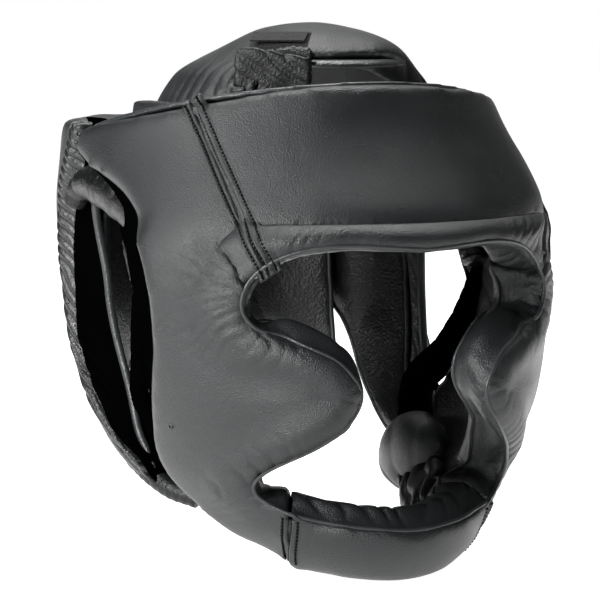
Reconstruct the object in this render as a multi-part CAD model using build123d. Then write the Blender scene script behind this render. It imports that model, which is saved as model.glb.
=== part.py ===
"""Full-face boxing headgear: padded leather panels, an open face, a crown and two rear flaps.

Millimetres. +Z is up, the face looks along -Y and +X is the wearer's left. The origin is the
middle of the head's space at eye level. Every panel is a slice of one padded shell, and each
slice is three pieces: a leather cover, a foam core and a lining.
"""

import os
from math import hypot, sqrt

from build123d import *

# ---------------------------------------------------------------- driving dimensions
# Outer shell: height, half width, half depth and centre (along Y) of each level section.
SHELL_SECTIONS = [
    (-124, 40, 72, -23),
    (-113, 52, 81, -20),
    (-101, 62, 89, -18),
    (-85, 74, 99, -14),
    (-60, 90, 112, -8),
    (-20, 104, 119, -4),
    (20, 107, 121, 0),
    (50, 101, 114, 13),
    (87, 93.5, 101.5, 23.3),
    (106, 89, 94, 28),
]
SIDE_PADDING = 24.0
FRONT_PADDING = 26.0
REAR_PADDING = 18.0
LEATHER = 1.5
BODY_GAP = 2.0
SPLINTER_SHARE = 0.01

RIM_FRONT_Z = 96.0
RIM_FRONT_Y = -72.0
RIM_SLOPE = -0.198
REAR_RIM_Z = 76.0
RIM_BINDING_HEIGHT = 3.0

BROW_ROLL_TOP = 36.0
SEAM_APEX_Y = -17.0
SEAM_APEX_Z = 13.0
SEAM_RUN = 47.4
SEAM_LEAN = 0.893
WELT_WIDTH = 2.4
WELT_HEIGHT = 1.0

CHIN_SEAM_X = 46.0
CHIN_SEAM_Y = -80.0
CHIN_APEX_Y = 15.0
CHIN_TOP_Z = -80.0
CHEEK_PAD_INNER_X = 66.0
CHEEK_PAD_TOP_Z = -8.0

FACE_BINDING = 1.8
FACE_CUT_APEX_Y = 30.0
FACE_CUT_OUTER_Y = -172.0
FACE_CUT_INNER_Y = -20.0

REAR_FLAP_INNER_END = 57.0
REAR_FLAP_OUTER_END = -20.0
FLAP_SPLIT = 0.46
PATCH = 1.2
EAR_ROLL_WIDTH = 12.0

# The ear holes narrow inwards: half width of the head at the wide and the narrow outline.
EAR_OUTER_X = 96.0
EAR_INNER_X = 78.5
EAR_INNER_LEAN = 0.15

CROWN_CENTRE = (0, 4, 60)
CROWN_RADII = (67, 77, 60)
CROWN_PADDING = 11.0
CROWN_BASE_Z = 78.0
CROWN_EDGE_Z = 100.0
CROWN_EDGE_Y = -36.0
CROWN_BINDING = 3.5

STRAP_CENTRE = (-32.3, -36.7)
STRAP_WIDTH = 34.0
STRAP_LENGTH = 24.0
STRAP_THICKNESS = 3.4
STRAP_BASE_Z = 80.0
STRAP_FOLD_Z = 109.0
STRAP_RISE = 0.31
PATCH_PLACE = 0.62
PATCH_LENGTH = 12.0
PATCH_GAP = 0.6
STRAP_INWARD = (0.60, 0.80)

STITCH_PITCH = 5.0
STITCH_LENGTH = 3.2
STITCH_WIDTH = 0.8
STITCH_HEIGHT = 0.5
STITCH_ROW_OFFSET = 4.5

EYELET_YZ = (-44.0, -39.0)
EYELET_RADIUS = 2.2
EYELET_HOLE_RADIUS = 1.0
EYELET_HEIGHT = 0.8

# ---------------------------------------------------------------- outlines, seen from the side (y, z)
SIDE_EAR_OUTER = [
    (31, 64), (14, 57), (-8, 51), (-29, 38), (-45, 16), (-50, -12), (-46, -42), (-37, -68), (-33, -84)
]
SIDE_EAR_INNER = [
    (31, 64), (25, 57), (18, 48), (14, 36), (14, 16), (18, -12), (11, -40), (-8, -68), (-33, -84)
]
JAW_EDGE = [(-33, -84), (-44, -98), (-60, -108), (-82, -116), (-104, -119)]
REAR_FRONT = [(33, 76), (33, 58), (37, 40), (33, 14), (25, -15), (16, -44), (8, -62), (0, -71)]
REAR_FRONT_OUTER = [(33, 76), (40, 62), (54, 44), (64, 14), (60, -15), (46, -44), (24, -62), (0, -71)]
REAR_LOWER = [(0, -84), (20, -75), (40, -62), (60, -42), (78, -22), (100, -15), (140, -14)]
NECK_STRAP = [(-2, -70), (-2, -84), (-30, -97), (-50, -100), (-52, -80), (-32, -74)]
EAR_CAP = [(-27, 40), (-8, 51), (14, 57), (28, 59), (28, 38), (14, 34), (-8, 35)]

# Right half of the face opening, seen from the front (x, z), from the brow to the chin bar.
EYE_TOP = [(0, 24), (-22, 26), (-42, 26.5), (-57, 23), (-67, 16), (-74, 4)]
EYE_BOTTOM = [(-74, 4), (-68, -7), (-52, -12), (-38, -18), (-27, -33)]
MOUTH_TOP = [(-27, -33), (-30, -43), (-40, -54), (-54, -65), (-63, -75)]
MOUTH_BOTTOM = [(-63, -75), (-51, -85), (-30, -90), (0, -93)]


# ---------------------------------------------------------------- helpers
def level_solid(depth):
    """The shell's solid at a share of the padding: 0 is the outside, 1 the inside."""
    faces = []
    for z, half_width, half_depth, centre in SHELL_SECTIONS:
        inset_y = depth * (FRONT_PADDING + REAR_PADDING) / 2
        shift = depth * (FRONT_PADDING - REAR_PADDING) / 2
        ellipse = Ellipse(half_width - depth * SIDE_PADDING, half_depth - inset_y)
        faces.append(Plane((0, centre + shift, z)) * ellipse)
    return loft(faces)


LEVELS = {}


def level(depth):
    key = round(depth, 4)
    if key not in LEVELS:
        LEVELS[key] = level_solid(key)
    return LEVELS[key]


def layer(outer, inner):
    return level(outer) - level(inner)


SKIN = LEATHER / SIDE_PADDING


def side_prism(points, x_low=-130.0, x_high=130.0):
    """A straight prism along X of an outline given in (y, z)."""
    line = Polyline(*[(0, y, z) for y, z in points], close=True)
    return extrude(make_face(line), x_high - x_low, dir=(1, 0, 0)).moved(Location((x_low, 0, 0)))


def box_between(low, high):
    size = [b - a for a, b in zip(low, high)]
    middle = [(a + b) / 2 for a, b in zip(low, high)]
    return Location(middle) * Box(*size)


def mirrored(shape):
    return mirror(shape, about=Plane.YZ)


def solids_of(shape):
    """One clean shape, without the splinters that a cut can leave."""
    found = shape.solids()
    least = SPLINTER_SHARE * max(s.volume for s in found)
    kept = [s for s in found if s.volume > least]
    return kept[0] if len(kept) == 1 else Compound(children=kept)


PARTS = {}


def keep(name, shape):
    PARTS[name] = solids_of(shape)


def keep_both(name, right_shape):
    keep(name + "_right", right_shape)
    keep(name + "_left", mirrored(PARTS[name + "_right"]))


# ---------------------------------------------------------------- cutting solids
def rim_z(y):
    return RIM_FRONT_Z + RIM_SLOPE * (y - RIM_FRONT_Y)


def slanted_face(x, lean, lines, curves):
    """A face in the plane at x, leaning outwards by this much for each mm of height."""

    def place(point):
        y, z = point
        return (x + lean * z, y, z)

    edges = [Spline(*[place(p) for p in points]) for points in curves]
    edges += [Line(place(a), place(b)) for a, b in lines]
    return make_face(edges)


def lofted_sides(outer, inner):
    """Outlines at the outside and inside of both ear holes, joined through the whole width."""
    right = [(-125, 0, outer), (-EAR_OUTER_X, 0, outer), (-EAR_INNER_X, -EAR_INNER_LEAN, inner)]
    left = [(-x, -lean, parts) for x, lean, parts in reversed(right)]
    return loft([slanted_face(x, lean, *parts) for x, lean, parts in right + left], ruled=True)


def front_outline(ear_points):
    """Everything that the forehead, side and chin panels cover: its straight and curved edges."""
    front_y = -160
    start = (front_y, rim_z(front_y))
    rim_end = (22, rim_z(22))
    foot = (front_y, JAW_EDGE[-1][1])
    lines = [(start, rim_end), (JAW_EDGE[-1], foot), (foot, start)]
    curves = [[rim_end, (30, 71), ear_points[0]], ear_points, JAW_EDGE]
    return lines, curves


def head_front():
    return lofted_sides(front_outline(SIDE_EAR_OUTER), front_outline(SIDE_EAR_INNER))


def rear_outline(front_points, shift):
    moved = [(y + shift, z) for y, z in front_points]
    back_top = (REAR_LOWER[-1][0], REAR_RIM_Z)
    lines = [(moved[-1], REAR_LOWER[0]), (REAR_LOWER[-1], back_top), (back_top, moved[0])]
    return lines, [moved, REAR_LOWER]


def head_rear(shift=0.0):
    """Both rear flaps; shift moves the edge along the ear holes backwards."""
    return lofted_sides(rear_outline(REAR_FRONT_OUTER, shift), rear_outline(REAR_FRONT, shift))


def forehead_wedge(widen=0.0):
    """The space between the two temple seams; widen moves both seams outwards."""
    reach = 260.0
    side = reach * SEAM_RUN / 45.0
    z_low = -60.0
    apex = (0, SEAM_APEX_Y + widen + SEAM_LEAN * (z_low - SEAM_APEX_Z), z_low)
    left = (side, apex[1] - reach, z_low)
    right = (-side, apex[1] - reach, z_low)
    face = make_face(Polyline(apex, left, right, close=True))
    tall = 220.0
    return extrude(face, tall * hypot(1, SEAM_LEAN), dir=(0, SEAM_LEAN, 1))


def shell_front_y(x, z):
    """Where the front of the shell's outside is, at this x and z."""
    for below, above in zip(SHELL_SECTIONS, SHELL_SECTIONS[1:]):
        if z <= above[0]:
            break
    share = (z - below[0]) / (above[0] - below[0])
    a, b, centre = [low + share * (high - low) for low, high in zip(below[1:], above[1:])]
    return centre - b * sqrt(1 - (x / a) ** 2)


def face_opening(plane_y, grow):
    """The face opening in the plane at plane_y, seen from the apex inside the head."""
    middle_z = -34.0
    spread_x = 1 + grow / 60.0
    spread_z = 1 + grow / 55.0
    edges = []
    for sign in (1, -1):
        for points in (EYE_TOP, EYE_BOTTOM, MOUTH_TOP, MOUTH_BOTTOM):
            placed = []
            for x, z in points:
                share = (plane_y - FACE_CUT_APEX_Y) / (shell_front_y(x, z) - FACE_CUT_APEX_Y)
                placed.append((sign * x * share * spread_x, plane_y, middle_z + (z - middle_z) * spread_z))
            edges.append(Spline(*placed))
    return make_face(edges)


def face_cutter(grow=0.0):
    """A ruled funnel through the front of the shell: wider outside, narrower towards the head."""
    outside = face_opening(FACE_CUT_OUTER_Y, grow)
    inside = face_opening(FACE_CUT_INNER_Y, grow)
    return loft([outside, inside], ruled=True)


def chin_wedge(widen=0.0):
    """The space between the two chin seams; widen moves both seams outwards."""
    apex_y = CHIN_APEX_Y + widen
    reach = 200.0
    side = reach * CHIN_SEAM_X / (CHIN_APEX_Y - CHIN_SEAM_Y)
    outline = [(0, apex_y, -140), (side, apex_y - reach, -140), (-side, apex_y - reach, -140)]
    return extrude(make_face(Polyline(*outline, close=True)), 140 + CHIN_TOP_Z, dir=(0, 0, 1))


# ---------------------------------------------------------------- shared regions
FRONT = head_front()
REAR = head_rear()
WEDGE = forehead_wedge()
FACE = face_cutter()
ABOVE_EYES = box_between((-150, -170, -8), (150, 60, 140))
RIGHT_HALF = box_between((-150, -170, -150), (0, 160, 150))
CHIN_BLOCK = chin_wedge()
BROW_BLOCK = box_between((-150, -170, -8), (150, 60, BROW_ROLL_TOP))
OVER_BROW = box_between((-150, -170, BROW_ROLL_TOP), (150, 60, 140))


def panel(region):
    """Cover, foam and lining of one region of the shell."""
    cover = region & layer(0, SKIN)
    foam = region & layer(SKIN, 1 - SKIN)
    lining = region & layer(1 - SKIN, 1)
    return cover, foam, lining


def rim_slab():
    drop = RIM_BINDING_HEIGHT
    points = [(-160, rim_z(-160)), (35, rim_z(35)), (35, rim_z(35) - drop), (-160, rim_z(-160) - drop)]
    return side_prism(points)


RIM = rim_slab()
OPEN_FRONT = FRONT - FACE - RIM


# ---------------------------------------------------------------- forehead
def make_forehead():
    region = OPEN_FRONT & WEDGE & OVER_BROW
    cover, foam, lining = panel(region)
    keep("forehead_cover", cover)
    keep("forehead_foam", foam)
    keep("forehead_lining", lining)
    roll = OPEN_FRONT & WEDGE & BROW_BLOCK
    keep("brow_roll", roll & layer(0, 1))


# ---------------------------------------------------------------- sides, cheeks and chin
def make_sides():
    side = (OPEN_FRONT & RIGHT_HALF) - (WEDGE & ABOVE_EYES) - CHIN_BLOCK
    cover, foam, lining = panel(side)
    keep_both("side_cover", cover)
    cheek = box_between((-CHEEK_PAD_INNER_X, -170, -100), (0, -20, CHEEK_PAD_TOP_Z))
    keep_both("side_foam", foam - cheek)
    keep_both("cheek_pad", foam & cheek)
    keep_both("side_lining", lining)


def make_chin():
    cover, foam, lining = panel(OPEN_FRONT & CHIN_BLOCK)
    keep("chin_cover", cover)
    keep("chin_foam", foam)
    keep("chin_lining", lining)


# ---------------------------------------------------------------- bindings, welts and stitching
def make_bindings():
    keep("rim_binding", FRONT & RIM & layer(0, 1))
    ring = FACE - face_cutter(-FACE_BINDING)
    keep("face_binding", (ring & FRONT) & layer(0.82, 1))


def raised(height):
    """A skin of this height on the outside of the shell."""
    return layer(-height / SIDE_PADDING, 0)


def temple_strip(middle, width):
    """A band along both temple seams; middle is its distance outside the seam."""
    across = 1.36
    return forehead_wedge((middle + width / 2) * across) - forehead_wedge((middle - width / 2) * across)


def stitch_comb(z_low, z_high):
    """Level slices, one to a stitch."""
    count = int((z_high - z_low) / STITCH_PITCH)
    slices = []
    for i in range(count):
        z = z_low + (i + 0.5) * STITCH_PITCH
        slices.append(box_between((-150, -170, z - STITCH_LENGTH / 2), (0, 60, z + STITCH_LENGTH / 2)))
    return slices


def make_seams():
    temple = OPEN_FRONT & RIGHT_HALF & box_between((-150, -170, 14), (0, 60, 140))
    keep_both("temple_welt", temple_strip(0, WELT_WIDTH) & raised(WELT_HEIGHT) & temple)
    stitches = []
    for side in (-1, 1):
        row = temple_strip(side * STITCH_ROW_OFFSET, STITCH_WIDTH) & raised(STITCH_HEIGHT) & temple
        for piece in stitch_comb(20, 92):
            stitches += (row & piece).solids()
    PARTS["temple_stitching_right"] = Compound(children=stitches)
    PARTS["temple_stitching_left"] = mirrored(PARTS["temple_stitching_right"])
    seam = chin_wedge(WELT_WIDTH) - chin_wedge(-WELT_WIDTH)
    keep_both("chin_welt", OPEN_FRONT & RIGHT_HALF & seam & raised(WELT_HEIGHT))


def make_eyelets():
    tube = Cylinder(EYELET_RADIUS, 60) - Cylinder(EYELET_HOLE_RADIUS, 60)
    tube = Location((-100, *EYELET_YZ)) * Rotation(0, 90, 0) * tube
    keep_both("vent_eyelet", tube & raised(EYELET_HEIGHT))


# ---------------------------------------------------------------- rear flaps
def make_rear():
    padded = head_rear(EAR_ROLL_WIDTH)
    full_right = padded & box_between((-150, -60, -150), (REAR_FLAP_OUTER_END - BODY_GAP, 160, 150))
    cover, foam, lining = panel(full_right)
    keep("rear_cover_right", cover)
    keep("rear_foam_right", foam)
    keep("rear_lining_right", lining)
    full_left = padded & box_between((REAR_FLAP_INNER_END + BODY_GAP, -60, -150), (150, 160, 150))
    cover, foam, lining = panel(full_left)
    keep("rear_cover_left", cover)
    keep("rear_foam_left", foam)
    keep("rear_lining_left", lining)
    overlap = box_between(
        (REAR_FLAP_OUTER_END, 40, -150),
        (REAR_FLAP_INNER_END + BODY_GAP, 160, 150),
    )
    patch = PATCH / REAR_PADDING
    outer_flap = (REAR & overlap) & layer(0, FLAP_SPLIT - patch)
    keep("rear_flap_left", outer_flap)
    inner_span = box_between(
        (REAR_FLAP_OUTER_END - BODY_GAP, 40, -150),
        (REAR_FLAP_INNER_END, 160, 150),
    )
    inner_flap = (REAR & inner_span) & layer(FLAP_SPLIT + 2 * patch, 1)
    keep("rear_flap_right", inner_flap)
    patch_box = box_between((-12, 60, -4), (44, 160, 62))
    keep("rear_hook_patch", patch_box & layer(FLAP_SPLIT - patch, FLAP_SPLIT))
    keep("rear_loop_patch", patch_box & layer(FLAP_SPLIT + patch, FLAP_SPLIT + 2 * patch))
    keep_both("ear_roll", (REAR - padded) & RIGHT_HALF & layer(0, 1))


# ---------------------------------------------------------------- ear caps and neck straps
def make_joining_pieces():
    cap = side_prism(EAR_CAP, -130, 0) - FRONT
    keep_both("ear_cap", cap & layer(0.2, 0.6))
    strap = side_prism(NECK_STRAP, -130, 0)
    keep_both("neck_strap", strap & layer(1.02, 1.22))


# ---------------------------------------------------------------- crown
def ellipsoid(shrink):
    radii = [r - shrink for r in CROWN_RADII]
    ball = scale(Sphere(1), by=tuple(radii))
    return ball.moved(Location(CROWN_CENTRE))


def make_crown():
    above = box_between((-90, -90, CROWN_BASE_Z), (90, 110, 140))
    edge = CROWN_EDGE_Z + CROWN_BINDING
    band = (level(0) - level(1.05)) & box_between((-150, -170, 0), (150, 160, 140))
    front_band = band & side_prism([(-160, rim_z(-160) + 1), (35, rim_z(35) + 1), (35, 60), (-160, 60)])
    slot = box_between((-90, -120, 70), (90, CROWN_EDGE_Y, edge))
    strap_room = Box(STRAP_WIDTH + 2, STRAP_THICKNESS + 2, 60)
    strap_room = strap_plane() * Location((0, 0, -30)) * strap_room
    region = above - front_band - slot - strap_room
    shells = [ellipsoid(s) for s in (0, LEATHER, CROWN_PADDING - LEATHER, CROWN_PADDING)]
    keep("crown_cover", region & (shells[0] - shells[1]))
    keep("crown_foam", region & (shells[1] - shells[2]))
    keep("crown_lining", region & (shells[2] - shells[3]))
    bound = box_between((-90, -120, CROWN_EDGE_Z), (90, CROWN_EDGE_Y, edge)) - front_band - strap_room
    keep("crown_binding", bound & (shells[0] - shells[3]))
    ring = box_between((-90, -20, CROWN_BASE_Z), (0, 28, CROWN_BASE_Z + 7)) & level(1)
    keep_both("crown_gather", ring - shells[0])


# ---------------------------------------------------------------- crown strap
def strap_plane():
    """Origin at the fold, X across the strap and Z along its run over the crown."""
    across = (STRAP_INWARD[1], -STRAP_INWARD[0], 0)
    return Plane((*STRAP_CENTRE, STRAP_FOLD_Z), x_dir=across, z_dir=(0, 0, 1))


def make_crown_strap():
    frame = strap_plane()
    base_height = STRAP_FOLD_Z - STRAP_BASE_Z
    base = Location((0, 0, -base_height / 2)) * Box(STRAP_WIDTH, STRAP_THICKNESS, base_height)
    keep("crown_strap_base", frame * base - (FRONT & layer(0, 1)))
    lean = Vector(0, 1, STRAP_RISE).normalized()
    tongue_plane = Plane((0, 0.6, 0.7), x_dir=(1, 0, 0), z_dir=(0, -lean.Z, lean.Y))
    half = STRAP_WIDTH / 2
    straight = STRAP_LENGTH - half
    outline = make_face([
        Line((-half, 1), (half, 1)),
        Line((half, 1), (half, straight)),
        ThreePointArc((half, straight), (0, STRAP_LENGTH), (-half, straight)),
        Line((-half, straight), (-half, 1)),
    ])
    tongue = extrude(tongue_plane * outline, STRAP_THICKNESS, dir=(0, -lean.Z, lean.Y))
    keep("crown_strap_tongue", frame * tongue)
    middle = STRAP_LENGTH * PATCH_PLACE
    patch = Location((0, middle, -0.8)) * Box(STRAP_WIDTH - 10, PATCH_LENGTH, 0.7)
    keep("crown_hook_patch", frame * tongue_plane * patch - ellipsoid(-PATCH_GAP))
    pad = frame * Location((0, middle, 0)) * Box(STRAP_WIDTH - 8, PATCH_LENGTH + 3, 60)
    keep("crown_loop_patch", pad & (ellipsoid(-0.5) - ellipsoid(0)))


make_forehead()
make_sides()
make_chin()
make_bindings()
make_seams()
make_eyelets()
make_rear()
make_joining_pieces()
make_crown()
make_crown_strap()

os.makedirs("parts", exist_ok=True)
for name, shape in PARTS.items():
    export_step(shape, f"parts/{name}.step")
    print(name, round(shape.volume), len(shape.solids()))
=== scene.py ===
"""Looks for the full-face boxing headgear: padded leather panels, seams, piping and straps.

Works in millimetres inside the helpers and puts metres into Blender. The frame is the CAD's:
+Z up, the face looks along -Y and +X is the wearer's left.
"""

import math

import bpy
import numpy as np
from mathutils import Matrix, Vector
from mathutils.bvhtree import BVHTree


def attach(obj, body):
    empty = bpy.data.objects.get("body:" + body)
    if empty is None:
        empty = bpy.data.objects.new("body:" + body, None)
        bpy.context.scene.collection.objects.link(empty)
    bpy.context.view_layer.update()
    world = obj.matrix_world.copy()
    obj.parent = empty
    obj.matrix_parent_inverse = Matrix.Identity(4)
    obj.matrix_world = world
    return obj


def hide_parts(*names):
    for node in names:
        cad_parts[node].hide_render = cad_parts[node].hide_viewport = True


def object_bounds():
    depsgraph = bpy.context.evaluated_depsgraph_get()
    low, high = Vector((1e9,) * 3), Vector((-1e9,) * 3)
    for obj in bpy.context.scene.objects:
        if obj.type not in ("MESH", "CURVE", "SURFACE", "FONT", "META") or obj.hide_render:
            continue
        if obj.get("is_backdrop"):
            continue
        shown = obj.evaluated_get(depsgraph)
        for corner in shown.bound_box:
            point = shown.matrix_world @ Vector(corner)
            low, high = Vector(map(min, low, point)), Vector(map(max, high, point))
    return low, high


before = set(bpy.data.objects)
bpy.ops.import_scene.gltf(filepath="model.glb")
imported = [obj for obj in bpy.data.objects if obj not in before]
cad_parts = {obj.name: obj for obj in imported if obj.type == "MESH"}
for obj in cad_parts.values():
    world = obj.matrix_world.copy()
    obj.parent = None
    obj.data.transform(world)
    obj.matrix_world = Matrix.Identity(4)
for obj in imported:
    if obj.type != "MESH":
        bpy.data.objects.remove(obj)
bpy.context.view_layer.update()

MM = 0.001
SIDES = {"right": -1.0, "left": 1.0}

# ---------------------------------------------------------------- the shell, as the CAD has it
# Outer shell: height, half width, half depth and centre (along Y) of each level section.
SHELL = np.array([
    (-124, 40, 72, -23),
    (-113, 52, 81, -20),
    (-101, 62, 89, -18),
    (-85, 74, 99, -14),
    (-60, 90, 112, -8),
    (-20, 104, 119, -4),
    (20, 107, 121, 0),
    (50, 101, 114, 13),
    (87, 93.5, 101.5, 23.3),
    (106, 89, 94, 28),
])
BROW_Z = 36.0
CHIN_TOP_Z = -80.0
SIDE_TOP_Z = -8.0

# Right half of the face opening, seen from the front (x, z), from the brow to the chin bar.
FACE_EDGE = [
    (0, 24), (-22, 26), (-42, 26.5), (-57, 23), (-67, 16), (-74, 4),
    (-68, -7), (-52, -12), (-38, -18), (-27, -33), (-30, -43), (-40, -54), (-54, -65),
    (-63, -75), (-51, -85), (-30, -90), (0, -93),
]
EYE_CORNER = (-72.0, -86.0, 8.0)

# The seams are cut on planes that meet over the middle of the head: how steep they are seen from above,
# where they meet, and how far the temple planes' meeting place moves back with each mm of height.
TEMPLE_SLOPE = 47.4 / 45.0
TEMPLE_LEAN = 0.893
TEMPLE_MEET_Y, TEMPLE_MEET_Z = -17.0, 13.0
CHIN_SLOPE = 46.0 / 95.0
CHIN_MEET_Y = 15.0


def shell_at(z):
    """Half width, half depth and centre of the shell's outside at each height."""
    return [np.interp(z, SHELL[:, 0], SHELL[:, i]) for i in (1, 2, 3)]


def depth_of(points):
    """How deep each point lies below the shell's outside, in mm."""
    x, y, z = points.T
    a, b, centre = shell_at(z)
    return (1 - np.sqrt((x / a) ** 2 + ((y - centre) / b) ** 2)) * (a + b) / 2


def shell_point(angle, z, depth=0.0):
    """A point on the shell; the angle is 0 at the front and 90 degrees at the wearer's left."""
    a, b, centre = shell_at(z)
    x, y = (a - depth) * np.sin(angle), centre - (b - depth) * np.cos(angle)
    return np.stack([x, y, z + 0 * angle], axis=-1)


def outward_at(points):
    """Level directions that point straight out of the shell."""
    x, y, z = points.T
    a, b, centre = shell_at(z)
    return unit(np.stack([x / a**2, (y - centre) / b**2, 0 * a], axis=1))


def temple_distance(points):
    """Distance outside the temple seams, in mm: negative on the forehead."""
    x, y, z = points.T
    apex = TEMPLE_MEET_Y + TEMPLE_LEAN * (z - TEMPLE_MEET_Z)
    steepness = math.hypot(1, TEMPLE_SLOPE, TEMPLE_LEAN * TEMPLE_SLOPE)
    return (np.abs(x) - TEMPLE_SLOPE * (apex - y)) / steepness


def chin_distance(points):
    """Distance outside the chin seams, in mm: negative on the chin panel."""
    x, y, _ = points.T
    return (np.abs(x) - CHIN_SLOPE * (CHIN_MEET_Y - y)) / math.hypot(1, CHIN_SLOPE)


TEMPLE_TURN_RIGHT = math.radians(8.2)
TEMPLE_TURN_LEFT = ([20, 34, 88], np.radians([15, 14, 6]))


def temple_turn(z, side):
    """How far each temple seam is drawn round the shell from the plane it was cut on."""
    return np.where(side < 0, TEMPLE_TURN_RIGHT, np.interp(z, *TEMPLE_TURN_LEFT))


def turned(points, amount):
    """The points moved around the shell, at the same depth and height."""
    x, y, z = points.T
    a, b, centre = shell_at(z)
    u, v = x / a, (y - centre) / b
    c, s = np.cos(amount), np.sin(amount)
    return np.stack([(u * c - v * s) * a, (u * s + v * c) * b + centre, z], axis=1)


def seam_warp(points):
    """Draws the temple seams to where they sit on the worn, filled headgear."""
    amount = temple_turn(points[:, 2], points[:, 0])
    near_seam = 1 - smoothstep(np.abs(temple_distance(points)), 8, 62)
    return turned(points, amount * near_seam * smoothstep(points[:, 2], 26, 40))


def rim_z(y):
    """Height of the headband's top edge."""
    return 96.0 - 0.198 * (y + 72.0)


def face_edge_position(points):
    """Distance from the face opening's edge and the length along it from the brow, seen from the front."""
    corners = np.array(FACE_EDGE, float)
    p = np.stack([-np.abs(points[:, 0]), points[:, 2]], axis=1)
    best = np.full(len(p), 1e9)
    along = np.zeros(len(p))
    start = 0.0
    for a, b in zip(corners, corners[1:]):
        d = b - a
        length = np.linalg.norm(d)
        t = np.clip((p - a) @ d / length**2, 0, 1)
        gap = np.linalg.norm(p - a - t[:, None] * d, axis=1)
        closer = gap < best
        best = np.where(closer, gap, best)
        along = np.where(closer, start + t * length, along)
        start += length
    return best, along


# ---------------------------------------------------------------- noise and shaping functions
def hashed(cells, seed):
    """One number from 0 to 1 for each integer cell."""
    n = cells[:, 0] * 73856093 ^ cells[:, 1] * 19349663 ^ cells[:, 2] * 83492791 ^ (seed * 2654435761)
    n = (n ^ (n >> 13)) * 1274126177 & 0x7FFFFFFF
    return ((n ^ (n >> 16)) & 0xFFFF) / 65535.0


def noise(points, size, seed=0):
    """Smooth value noise from -1 to 1; size is the width of a blob in mm."""
    p = points / size + 1000.0
    cell = np.floor(p).astype(np.int64)
    f = p - cell
    f = f * f * (3 - 2 * f)
    total = np.zeros(len(points))
    for corner in range(8):
        step = np.array([corner & 1, corner >> 1 & 1, corner >> 2 & 1])
        weight = np.prod(np.where(step, f, 1 - f), axis=1)
        total += weight * hashed(cell + step, seed)
    return total * 2 - 1


def smoothstep(value, low, high):
    t = np.clip((value - low) / (high - low), 0, 1)
    return t * t * (3 - 2 * t)


def near(points, centre, radius):
    """A soft window: 1 at the centre, 0 beyond the radius. Radius is one number or three."""
    d = np.linalg.norm((points - np.array(centre)) / np.array(radius), axis=1)
    return 1 - smoothstep(d, 0, 1)


def crease(phase, sharpness=3.0):
    """Narrow valleys of depth 1, one to each half turn of the phase."""
    return -((1 - np.abs(np.sin(phase))) ** sharpness)


def bell(value, middle, width):
    return np.exp(-(((value - middle) / width) ** 2))


# ---------------------------------------------------------------- meshes as arrays
def add_object(name, data):
    obj = bpy.data.objects.new(name, data)
    bpy.context.scene.collection.objects.link(obj)
    return obj


def mesh_from(name, points, faces):
    """A Blender object from points in mm."""
    mesh = bpy.data.meshes.new(name)
    faces = faces.tolist() if isinstance(faces, np.ndarray) else faces
    mesh.from_pydata((np.asarray(points, float) * MM).tolist(), [], faces)
    mesh.update()
    return add_object(name, mesh)


def points_of(mesh):
    co = np.empty(len(mesh.vertices) * 3)
    mesh.vertices.foreach_get("co", co)
    return co.reshape(-1, 3) / MM


def put_points(mesh, points):
    mesh.vertices.foreach_set("co", (points * MM).ravel())
    mesh.update()


def normals_of(mesh):
    n = np.empty(len(mesh.vertices) * 3)
    mesh.vertex_normals.foreach_get("vector", n)
    return n.reshape(-1, 3)


def edges_of(mesh):
    e = np.empty(len(mesh.edges) * 2, np.int64)
    mesh.edges.foreach_get("vertices", e)
    return e.reshape(-1, 2)


def quads_of(mesh):
    q = np.empty(len(mesh.loops), np.int64)
    mesh.loops.foreach_get("vertex_index", q)
    return q.reshape(-1, 4)


def with_modifier(obj, kind, **settings):
    """The object's mesh after one modifier."""
    modifier = obj.modifiers.new(kind, kind)
    for key, value in settings.items():
        setattr(modifier, key, value)
    bpy.context.view_layer.update()
    made = obj.evaluated_get(bpy.context.evaluated_depsgraph_get())
    mesh = bpy.data.meshes.new_from_object(made)
    obj.modifiers.remove(modifier)
    old = obj.data
    obj.data = mesh
    bpy.data.meshes.remove(old)
    return obj


def cad_copy(name, nodes):
    """One object that holds copies of several CAD nodes."""
    points, faces, start = [], [], 0
    for node in nodes:
        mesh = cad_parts[node].data
        points.append(points_of(mesh))
        faces += [[i + start for i in p.vertices] for p in mesh.polygons]
        start += len(mesh.vertices)
    return mesh_from(name, np.concatenate(points), faces)


def neighbour_mean(points, edges, count):
    a, b = edges.T
    mean = np.empty_like(points)
    for i in range(points.shape[1]):
        mean[:, i] = np.bincount(a, points[b, i], len(points)) + np.bincount(b, points[a, i], len(points))
    return mean / count[:, None]


def relax(mesh, rounds, free, strength=0.5):
    """Laplacian smoothing; free is 1 where a point may move fully and 0 where it stays."""
    points, edges = points_of(mesh), edges_of(mesh)
    count = np.bincount(edges.ravel(), minlength=len(points)).astype(float)
    step = (np.ones(len(points)) * free * strength)[:, None]
    for _ in range(rounds):
        points += (neighbour_mean(points, edges, count) - points) * step
    put_points(mesh, points)


def soft_pad(name, nodes, voxel=2.2, rounds=34, free=None, shape=None, finer=1, warp=None):
    """A padded piece from CAD nodes: remeshed, its free edges rounded, then shaped along its normals."""
    obj = with_modifier(cad_copy(name, nodes), "REMESH", mode="VOXEL", voxel_size=voxel * MM)
    relax(obj.data, 3, 1.0)
    relax(obj.data, rounds, free(points_of(obj.data)) if free else 1.0)
    if finer:
        with_modifier(obj, "SUBSURF", levels=finer, render_levels=finer)
    if shape:
        points = points_of(obj.data)
        normals = normals_of(obj.data)
        put_points(obj.data, points + normals * shape(points, normals)[:, None])
        relax(obj.data, 1, 0.6)
    if warp:
        put_points(obj.data, warp(points_of(obj.data)))
    obj.data.shade_smooth()
    return obj


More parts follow.
